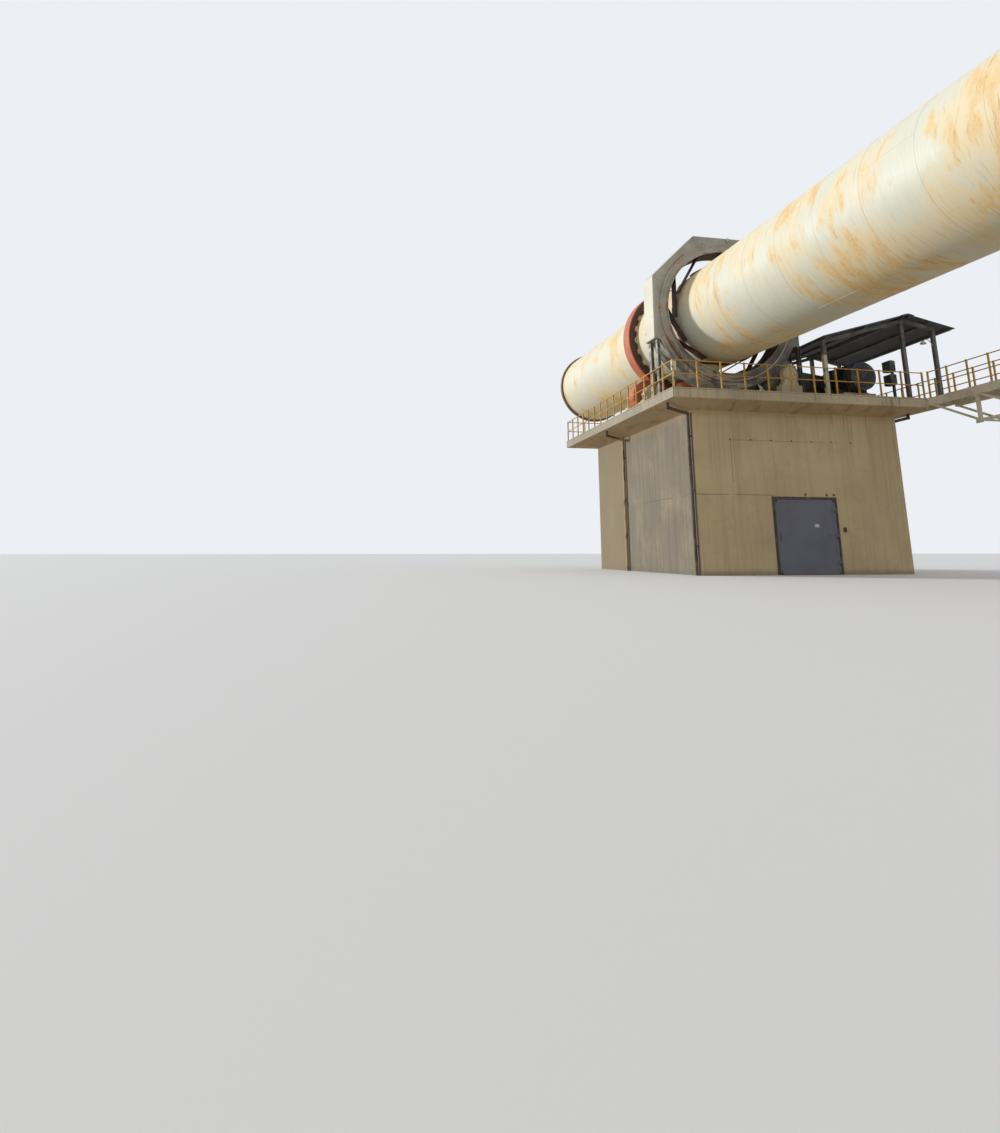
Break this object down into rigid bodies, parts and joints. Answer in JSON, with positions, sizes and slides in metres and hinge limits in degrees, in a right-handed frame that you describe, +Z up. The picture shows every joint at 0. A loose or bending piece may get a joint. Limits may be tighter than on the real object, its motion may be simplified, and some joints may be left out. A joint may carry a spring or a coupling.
{
  "type": "rotary kiln on two piers, 1:2 scale model",
  "caption": "Inclined rotary kiln tube on two tyres with support rollers, girth gear, guarded drive under a canopy, concrete piers, railings and an access walkway.",
  "frame": {"origin": "on the ground under the kiln axis, level with the first tyre, on the foot of the first pier", "axes": "+X along the kiln towards its lower discharge end, +Y towards the drive side, +Z up"},
  "size_m": [30.8384, 7.06, 7.4693],
  "materials": {
    "shell_paint": "weathered cream paint with rust streaks",
    "lining_brick": "fired refractory brick",
    "end_casting": "heat-stained casting",
    "tyre_steel": "rust-red steel",
    "pad_paint": "cream paint with rust",
    "gear_steel": "greased dark steel",
    "spring_steel": "brown oxidised plate",
    "roller_steel": "rust-red steel, worn bright on the face",
    "bed_concrete": "oil-stained concrete",
    "bearing_paint": "dusty cream enamel",
    "shield_paint": "dusty white paint",
    "guard_paint": "weathered light grey paint",
    "gearbox_paint": "dusty grey enamel",
    "motor_paint": "dusty dark enamel",
    "wall_concrete": "ochre painted concrete with pour joints",
    "floor_concrete": "trowelled concrete",
    "slab_concrete": "stained concrete",
    "rail_paint": "chipped yellow paint",
    "pipe_steel": "rusty dark paint",
    "door_steel": "rusty frame paint",
    "door_paint": "dull blue-grey paint",
    "shaft_concrete": "bare weathered concrete",
    "canopy_steel": "dusty grey paint",
    "roof_sheet": "weathered corrugated sheet",
    "truss_paint": "cream paint with rust"
  },
  "bodies": {
    "root": {"roller_bed_a": "bed_concrete", "roller_bed_b": "bed_concrete", "bearings_a": "bearing_paint", "bearings_b": "bearing_paint", "thrust_housing": "bearing_paint", "heat_shields": "shield_paint", "gear_guard_upper": "guard_paint", "gear_guard_lower": "guard_paint", "guard_posts": "guard_paint", "pinion_bearings": "bearing_paint", "gearbox": "gearbox_paint", "motor": "motor_paint", "drive_plinths": "bed_concrete", "control_post": "motor_paint", "pier_a_mass": "wall_concrete", "pier_a_left_wall": "wall_concrete", "pier_a_right_wall": "wall_concrete", "pier_a_front_left": "wall_concrete", "pier_a_front_right": "wall_concrete", "pier_a_lintel": "wall_concrete", "pier_a_floor": "floor_concrete", "pier_a_slab": "slab_concrete", "pier_a_handrail": "rail_paint", "drain_pipes": "pipe_steel", "door_frame": "door_steel", "pier_b_shaft": "shaft_concrete", "pier_b_slab": "shaft_concrete", "pier_b_handrail": "rail_paint", "canopy_frame": "canopy_steel", "canopy_roof": "roof_sheet", "walkway_deck": "truss_paint", "truss_inner": "truss_paint", "truss_outer": "truss_paint", "walkway_handrail": "rail_paint", "trestle": "truss_paint"},
    "kiln": {"shell_feed_end": "shell_paint", "shell_tyre_a": "shell_paint", "shell_gear_course": "shell_paint", "shell_middle": "shell_paint", "shell_tyre_b": "shell_paint", "shell_discharge_end": "shell_paint", "lining": "lining_brick", "feed_end_ring": "end_casting", "nose_ring": "end_casting", "tyre_a": "tyre_steel", "tyre_b": "tyre_steel", "tyre_pads_a": "pad_paint", "tyre_pads_b": "pad_paint", "girth_gear": "gear_steel", "spring_plates": "spring_steel"},
    "roller_a_left": {"roller_a_left": "roller_steel"},
    "roller_a_right": {"roller_a_right": "roller_steel"},
    "roller_b_left": {"roller_b_left": "roller_steel"},
    "roller_b_right": {"roller_b_right": "roller_steel"},
    "thrust_roller": {"thrust_roller": "roller_steel"},
    "pinion": {"pinion": "gear_steel"},
    "door": {"door_leaf": "door_paint"}
  },
  "joints": [
    {"name": "kiln_spin", "type": "hinge", "parent": "root", "child": "kiln", "pos_m": [0, 0, 5.7934], "axis": [0.9994, 0, -0.035], "continuous": true},
    {"name": "roller_a_left_spin", "type": "hinge", "parent": "root", "child": "roller_a_left", "pos_m": [-0.05287, -0.87265, 4.28285], "axis": [0.9994, 0, -0.035], "continuous": true},
    {"name": "roller_a_right_spin", "type": "hinge", "parent": "root", "child": "roller_a_right", "pos_m": [-0.05287, 0.87265, 4.28285], "axis": [0.9994, 0, -0.035], "continuous": true},
    {"name": "roller_b_left_spin", "type": "hinge", "parent": "root", "child": "roller_b_left", "pos_m": [17.93612, -0.87265, 3.65324], "axis": [0.9994, 0, -0.035], "continuous": true},
    {"name": "roller_b_right_spin", "type": "hinge", "parent": "root", "child": "roller_b_right", "pos_m": [17.93612, 0.87265, 3.65324], "axis": [0.9994, 0, -0.035], "continuous": true},
    {"name": "thrust_roller_spin", "type": "hinge", "parent": "root", "child": "thrust_roller", "pos_m": [0.40574, 0, 4.51242], "axis": [0.035, 0, 0.9994], "continuous": true},
    {"name": "pinion_spin", "type": "hinge", "parent": "root", "child": "pinion", "pos_m": [2.42924, 1.31285, 4.29966], "axis": [0.9994, 0, -0.035], "continuous": true},
    {"name": "door_hinge", "type": "hinge", "parent": "root", "child": "door", "pos_m": [3.112, 1.947, 0], "axis": [0, 0, 1], "range_deg": [0, 100]}
  ],
  "couplings": [
    {"joint": "roller_a_left_spin", "follows": "kiln_spin", "ratio": -3.3625},
    {"joint": "roller_a_right_spin", "follows": "kiln_spin", "ratio": -3.3625},
    {"joint": "roller_b_left_spin", "follows": "kiln_spin", "ratio": -3.3625},
    {"joint": "roller_b_right_spin", "follows": "kiln_spin", "ratio": -3.3625},
    {"joint": "thrust_roller_spin", "follows": "kiln_spin", "ratio": -5.064},
    {"joint": "pinion_spin", "follows": "kiln_spin", "ratio": -6}
  ]
}
